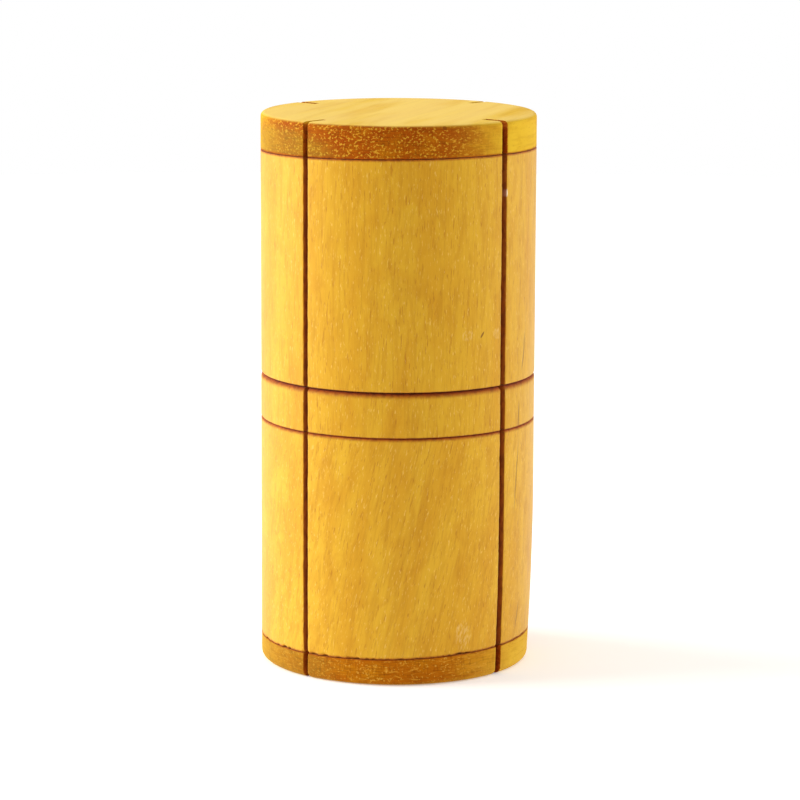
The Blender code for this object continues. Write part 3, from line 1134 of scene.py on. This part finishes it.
        # Darkening by each seam: saw scorch on the edge, fading onto the skin as painted shade.
        (top_scorch_shade, top_reach), (bottom_scorch_shade, bottom_reach) = self.scorch_shade_top, self.scorch_shade_bottom
        near_top = top_scorch_shade * smooth_step(1.0 - depth / top_reach)
        near_bottom = bottom_scorch_shade * smooth_step(1.0 - rise / bottom_reach)
        seam_scorch_shade = np.maximum(near_top, near_bottom) * (1 - inward) ** SEAM_FADE
        sawn = scorch_and_seam_shade * (1 - inward) ** KERF_FADE
        if self.clean_top:
            sawn = sawn * smooth_step(depth / self.clean_top)
        marks = {"scorch_and_seam_shade": np.maximum(sawn, seam_scorch_shade), "raw": raw}
        self.make(np.stack([across, along, level], axis=-1), self.looped, marks)


@dataclass
class TopCap(Shell):
    """The upper cap: a disc with a rounded rim and a socket for the vault tube."""

    socket: float = 9.8 * MM
    socket_depth: float = 3.15 * MM
    looped: ClassVar[bool] = False

    def rows(self) -> list[Row]:
        """Rows from the middle of the top, down the rim, to the middle of the socket."""
        floor = self.bottom + self.socket_depth
        return [
            *[Row(self.crown, self.top, 1.0, bore) for bore in (*FACE_CIRCLES, self.bore)],
            Row(self.crown, self.top, 0.5, self.bore),
            *self.skin(),
            *[Row(self.foot, self.bottom, inward, self.bore, DUSTED) for inward in (0.1, 0.5, 1.0)],
            Row(self.foot, self.bottom, 1.0, self.socket, BARE),
            *[Row(self.foot, floor, 1.0, bore, BARE, 0.0) for bore in (self.socket, self.socket / 2, 0.0)],
        ]


@dataclass
class BottomCap(Shell):
    """The lower cap: a disc with a rounded rim and a tipped upper face."""

    looped: ClassVar[bool] = False

    def rows(self) -> list[Row]:
        """Rows from the middle of the tipped upper face, down the rim, to the middle of the base."""
        return [
            *[Row(self.crown, self.top, 1.0, bore, BARE) for bore in (0.0, self.bore / 2, self.bore)],
            *[Row(self.crown, self.top, inward, self.bore, DUSTED) for inward in (0.5, 0.1)],
            *self.skin(),
            Row(self.foot, self.bottom, 0.5, self.bore),
            *[Row(self.foot, self.bottom, 1.0, bore) for bore in (self.bore, *FACE_CIRCLES[::-1])],
        ]


@dataclass
class TurnedRing(Piece):
    """A turned tube, bush or collar, with eased edges and any gaps or holes cut in it."""

    inner: float
    cuts: Sequence[BoxCut | DrillCut] = ()
    ease: float = 0.25 * MM
    row_height: float = 1.2 * MM
    steps: int = 144

    def build(self) -> None:
        """Turns a section of four rounded corners about Z, down the outside and up the bore."""
        bottom, top = ends = span(self.node)
        count = max(2, int((top - bottom) / self.row_height))
        outside = rounded_wall(half_width(self.node), ends, self.ease, count)
        inside = rounded_wall(0.0, ends, self.ease, count)[::-1] * (-1.0, 1.0) + (self.inner, 0.0)
        self.make(revolve(np.vstack([outside, inside]), self.steps), looped=True, cuts=self.cuts)


@dataclass
class Dowel(Piece):
    """A round peg or pin along a radius of the box, with softened ends."""

    turn: float
    ease: float = 0.3 * MM
    rows: int = 14
    steps: int = 48

    def build(self) -> None:
        """Turns a rounded section about Z and lays it along the radius."""
        low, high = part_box(self.node)
        unturned = Matrix.Rotation(-self.turn, 4, "Z")
        start, end = sorted((unturned @ corner).x for corner in (low, high))
        side = rounded_wall((high.z - low.z) / 2, (start, end), self.ease, self.rows)
        x, y, z = np.moveaxis(revolve(np.vstack([[0.0, end], side, [0.0, start]]), self.steps), -1, 0)
        laid = np.stack([z, x, y + (low.z + high.z) / 2], axis=-1)
        self.make(turned(laid, self.turn), looped=False)


@dataclass
class Stopper(Piece):
    """The turned bung of the vault tube: a plug, a flange, a waist and a knob."""

    plug: float = 6.7 * MM
    flange_top: float = 28.7 * MM
    flange: float = 2.4 * MM
    neck: float = 2.2 * MM
    knob: float = 3.6 * MM
    waist_end: float = 0.8
    waist_lip: float = 0.9
    ease: float = 0.5 * MM
    soft_ease: float = 0.8 * MM
    corner: float = 0.2 * MM
    steps: int = 144

    def build(self) -> None:
        """Turns the section about Z. The waist's radius grows with the square of the way from its middle."""
        bottom, top = span(self.node)
        rim = half_width(self.node) - self.ease
        under = self.flange_top - self.flange
        soft = self.soft_ease
        waist = np.linspace(0.0, 1.0, 9)[1:-1]
        waist_height = under + (bottom + self.knob - under) * waist
        waist_radius = self.neck + (self.knob * self.waist_end - self.neck) * (2 * waist - 1) ** 2
        plug_run = np.linspace(top - soft, self.flange_top + self.corner, 12)[1:]
        section = np.vstack([
            [[0.0, top], [self.plug * 0.5, top]],
            rounding(self.plug - soft, top - soft, soft, 90.0, 0.0),
            np.stack([np.full(len(plug_run), self.plug), plug_run], axis=-1),
            [self.plug + self.corner, self.flange_top],
            rounding(rim, self.flange_top - self.ease, self.ease, 90.0, 0.0),
            rounding(rim, under + self.ease, self.ease, 0.0, -90.0),
            [self.knob * self.waist_lip, under],
            np.stack([waist_radius, waist_height], axis=-1),
            rounding(self.knob - soft, bottom + self.knob - soft, soft, 60.0, 0.0),
            rounding(self.knob - soft, bottom + soft, soft, 0.0, -90.0),
            [0.0, bottom],
        ])
        self.make(revolve(section, self.steps), looped=False)


# ---------------------------------------------------------------- sub-assemblies

PEG_TURN = -QUARTER
SLEEVE_BORE = 9.8 * MM
COLLAR_BORE = 12.3 * MM
VAULT_BORE = 7.0 * MM
OVERRUN = 2.0 * MM
GAP_WIDTH = 4.4 * MM
NOTCH_DEPTH = 1.5 * MM
PIN_HOLE = 1.3 * MM
PEG_HOLE = 2.1 * MM
SLOT = BoxCut(PEG_TURN, 4.2 * MM, 33.2 * MM, 60.0 * MM)


def gate(node: str, body: str) -> TurnedRing:
    """A gate: a bush with one gap over the pegs' line and three blind notches underneath.

    Args:
        node: The gate's node.
        body: The body that it moves with.

    Returns:
        The piece's description.
    """
    bottom, top = span(node)
    cuts = [BoxCut(PEG_TURN, GAP_WIDTH, bottom - OVERRUN, top + OVERRUN)]
    for quarter in range(1, 4):
        turn = PEG_TURN + quarter * QUARTER
        cuts.append(BoxCut(turn, GAP_WIDTH, bottom - OVERRUN, bottom + NOTCH_DEPTH))
    return TurnedRing(node, body, GATE_WOOD, COLLAR_BORE, cuts)


def pin_holes(collar: str) -> list[DrillCut]:
    """The two holes for the pins of a collar of the sleeve."""
    height = sum(span(f"{collar}_pin_right")) / 2
    return [DrillCut(turn, PIN_HOLE, height) for turn in (0.0, math.pi)]


@dataclass
class LowerHalf:
    """The half that stays on the table: its cap and barrel, and the gate and bush glued inside."""

    outline: SawnOutline
    body: str = "lower_half"
    tilt: tuple[float, float] = (0.0104, 0.0223)
    lean: float = 0.95 * MM

    def build(self) -> None:
        """Makes the pieces."""
        BottomCap(
            "bottom_cap", self.body, BOTTOM_CAP_WOOD, self.outline, ease_top=0.12 * MM,
            ease_bottom=1.2 * MM, tilt_top=self.tilt, tilt_fade=4.0 * MM, skin_rows=34,
            lean_depth=self.lean, chip_top=0.12 * MM, scorch_shade_bottom=NO_SCORCH_OR_SHADE, close_bottom=0.0, seed=11,
        ).build()
        # Its top edge darkens over 0.75 mm below the seam: saw scorch and painted shade.
        Shell(
            "lower_barrel", self.body, LOWER_WOOD, self.outline, ease_top=0.4 * MM,
            tilt_bottom=self.tilt, lean_depth=self.lean, chip_top=0.06 * MM, chip_bottom=0.55 * MM,
            big_chips=((-20.0, 5.0, 1.1 * MM),), scorch_shade_top=(1.0, 0.75 * MM),
            scorch_shade_bottom=(0.8, 0.4 * MM), seed=21,
        ).build()
        gate("lower_gate", self.body).build()
        TurnedRing("foot_bush", self.body, GATE_WOOD, COLLAR_BORE).build()


@dataclass
class Guide:
    """The slotted sleeve that turns with the upper half, its two collars and their pins."""

    body: str = "guide"

    def build(self) -> None:
        """Makes the pieces."""
        foot_holes, head_holes = pin_holes("foot"), pin_holes("head")
        sleeve_cuts = [SLOT, *foot_holes, *head_holes]
        TurnedRing("guide_sleeve", self.body, TUBE_WOOD, SLEEVE_BORE, sleeve_cuts).build()
        for name, cuts in (("foot", foot_holes), ("head", [SLOT, *head_holes])):
            TurnedRing(f"{name}_collar", self.body, GATE_WOOD, COLLAR_BORE, cuts).build()
            for side, turn in (("left", math.pi), ("right", 0.0)):
                Dowel(f"{name}_pin_{side}", self.body, DOWEL_WOOD, turn).build()


@dataclass
class CodeRing:
    """The ring between the halves, with its gate glued inside."""

    outline: SawnOutline
    body: str = "code_ring"

    def build(self) -> None:
        """Makes the pieces."""
        # Its top edge darkens over 1.1 mm below the seam: saw scorch and painted shade.
        Shell(
            "code_ring", self.body, RING_WOOD, self.outline, ease_top=0.8 * MM, skin_rows=40,
            chip_top=0.05 * MM, chip_bottom=0.06 * MM, scorch_shade_top=(1.0, 1.1 * MM), seed=31,
        ).build()
        gate("ring_gate", self.body).build()


@dataclass
class UpperHalf:
    """The half that lifts off: its barrel and cap, and the vault tube with its bush and pegs."""

    outline: SawnOutline
    body: str = "upper_half"
    tilt: tuple[float, float] = (0.0243, -0.0089)

    def build(self) -> None:
        """Makes the pieces."""
        Shell(
            "upper_barrel", self.body, UPPER_WOOD, self.outline, ease_bottom=0.2 * MM,
            tilt_top=self.tilt, chip_top=0.05 * MM, chip_bottom=0.05 * MM,
            scorch_shade_top=(0.9, 0.35 * MM), seed=41,
        ).build()
        TopCap(
            "top_cap", self.body, TOP_CAP_WOOD, self.outline, ease_top=0.8 * MM,
            tilt_bottom=self.tilt, tilt_fade=4.0 * MM, skin_rows=40, chip_bottom=0.05 * MM,
            scorch_shade_top=NO_SCORCH_OR_SHADE, scorch_shade_bottom=(0.8, 0.45 * MM), close_top=0.0, clean_top=0.7 * MM, seed=51,
        ).build()
        pegs = ("ring_peg", "lower_peg")
        for peg in pegs:
            Dowel(peg, self.body, DOWEL_WOOD, PEG_TURN).build()
        holes = [DrillCut(PEG_TURN, PEG_HOLE, sum(span(peg)) / 2) for peg in pegs]
        TurnedRing("vault_tube", self.body, TUBE_WOOD, VAULT_BORE, holes).build()
        TurnedRing("vault_bush", self.body, GATE_WOOD, SLEEVE_BORE).build()


# ---------------------------------------------------------------- stage


def direction(azimuth: float, elevation: float) -> Vector:
    """The direction at an azimuth, counted from -Y towards +X, and an elevation."""
    level = math.cos(elevation)
    return Vector((math.sin(azimuth) * level, -math.cos(azimuth) * level, math.sin(elevation)))


@dataclass(frozen=True)
class SoftLight:
    """A large soft box that looks at the object, at an azimuth counted from the camera's."""

    name: str
    azimuth_degrees: float
    elevation_degrees: float
    distance: float
    size: float
    watts: float

    def hang(self, target: Vector) -> None:
        """Places the light.

        Args:
            target: The point that it looks at.
        """
        azimuth = math.radians(self.azimuth_degrees) + VIEW_AZIMUTH
        away = direction(azimuth, math.radians(self.elevation_degrees))
        lamp = bpy.data.lights.new(self.name, "AREA")
        lamp.shape = "SQUARE"
        lamp.size = self.size
        lamp.energy = self.watts
        holder = add_object(self.name, lamp)
        holder.location = target + away * self.distance
        holder.rotation_mode = "QUATERNION"
        holder.rotation_quaternion = away.to_track_quat("Z", "Y")


@dataclass
class Studio:
    """The plain pale floor, the soft lights and the camera."""

    floor_radius: float = 0.75
    floor_glow: float = 0.2
    lens_mm: float = 171.0
    distance: float = 695.0 * MM
    elevation: float = math.radians(10.0)
    roll: float = math.radians(0.22)
    aim_right: float = 0.42 * MM
    aim_down: float = 2.69 * MM
    ambient: float = 0.52
    lights: tuple[SoftLight, ...] = (
        SoftLight("left_soft_box", -97.0, 22.0, 0.9, 0.7, 11.8),
        SoftLight("right_soft_box", 102.0, 22.0, 0.9, 0.6, 4.4),
        SoftLight("overhead_soft_box", 180.0, 80.0, 1.5, 2.0, 4.0),
    )

    def build(self) -> None:
        """Sets the floor, the lights, the surroundings and the camera."""
        low, high = CAD_BOX
        centre = (low + high) / 2
        self.floor()
        self.surroundings()
        for light in self.lights:
            light.hang(centre)
        self.camera(centre)

    def floor(self) -> None:
        """A wide disc of opal acrylic, lit faintly from below, so that it stays white.

        It is rows of circles whose radius grows with the square of the row.
        """
        rings, columns = 24, 96
        radius = self.floor_radius * np.linspace(0.01, 1.0, rings) ** 2
        points = revolve(np.stack([radius, 0 * radius], axis=-1), columns).reshape(-1, 3)
        faces = grid_faces(np.arange(rings * columns).reshape(rings, columns)).tolist()
        floor = add_mesh("studio_floor", points, [*faces, list(range(columns))])
        acrylic = bpy.data.materials.new("opal_acrylic_light_table")
        acrylic.use_nodes = True
        tree = acrylic.node_tree
        sockets = tree.nodes["Principled BSDF"].inputs
        place = add_node(tree, "TexCoord", out="Object")
        clouds = add_node(tree, "TexNoise", {"Vector": place, "Scale": 400.0})
        layers = {MIX_FACTOR: clouds, MIX_UNDER: linear("#F7F6F4"), MIX_OVER: linear("#FAFAF9")}
        tree.links.new(add_node(tree, "Mix", layers, MIX_RESULT, data_type="RGBA"), sockets["Base Color"])
        sockets["Emission Color"].default_value = (1.0, 1.0, 1.0, 1.0)
        sockets["Emission Strength"].default_value = self.floor_glow
        sockets["Roughness"].default_value = 0.95
        sockets["Specular IOR Level"].default_value = 0.0
        floor.data.materials.append(acrylic)

    def surroundings(self) -> None:
        """A white surround for the eye, and a softer one that lights the object."""
        world = bpy.data.worlds.new("studio_surround")
        world.use_nodes = True
        tree = world.node_tree
        tree.nodes.clear()
        seen = add_node(tree, "Background", {"Color": (1.0, 1.0, 1.0, 1.0), "Strength": 1.0})
        glow = add_node(tree, "Background", {"Color": (1.0, 0.98, 0.95, 1.0), "Strength": self.ambient})
        to_camera = add_node(tree, "LightPath", out="Is Camera Ray")
        both = add_node(tree, "MixShader", {0: to_camera, 1: glow, 2: seen})
        add_node(tree, "OutputWorld", {"Surface": both})
        bpy.context.scene.world = world

    def camera(self, centre: Vector) -> None:
        """Stands the camera in front, a little above the object.

        Args:
            centre: The middle of the object.
        """
        back = direction(VIEW_AZIMUTH, self.elevation)
        right = Vector((math.cos(VIEW_AZIMUTH), math.sin(VIEW_AZIMUTH), 0.0))
        location = centre + back * self.distance
        target = centre + right * self.aim_right - back.cross(right) * self.aim_down
        data = bpy.data.cameras.new("front_camera")
        data.sensor_width = 36.0
        data.lens = self.lens_mm
        data.clip_start = 0.05
        data.clip_end = 50.0
        camera = add_object("front_camera", data)
        camera.location = location
        look = (target - location).to_track_quat("-Z", "Y")
        camera.rotation_mode = "QUATERNION"
        camera.rotation_quaternion = look @ Matrix.Rotation(self.roll, 3, "Z").to_quaternion()
        bpy.context.scene.camera = camera
        bpy.context.scene.view_settings.view_transform = "Standard"


def main() -> None:
    """Builds the sub-assemblies in order, then the studio."""
    logging.basicConfig(level=logging.INFO, format="%(message)s")
    outline = SawnOutline()
    for assembly in (LowerHalf(outline), Guide(), CodeRing(outline), UpperHalf(outline)):
        LOG.info("building %s", type(assembly).__name__)
        assembly.build()
    Stopper("vault_stopper", "stopper", STOPPER_WOOD).build()
    Studio().build()


if __name__ == "__main__":
    main()
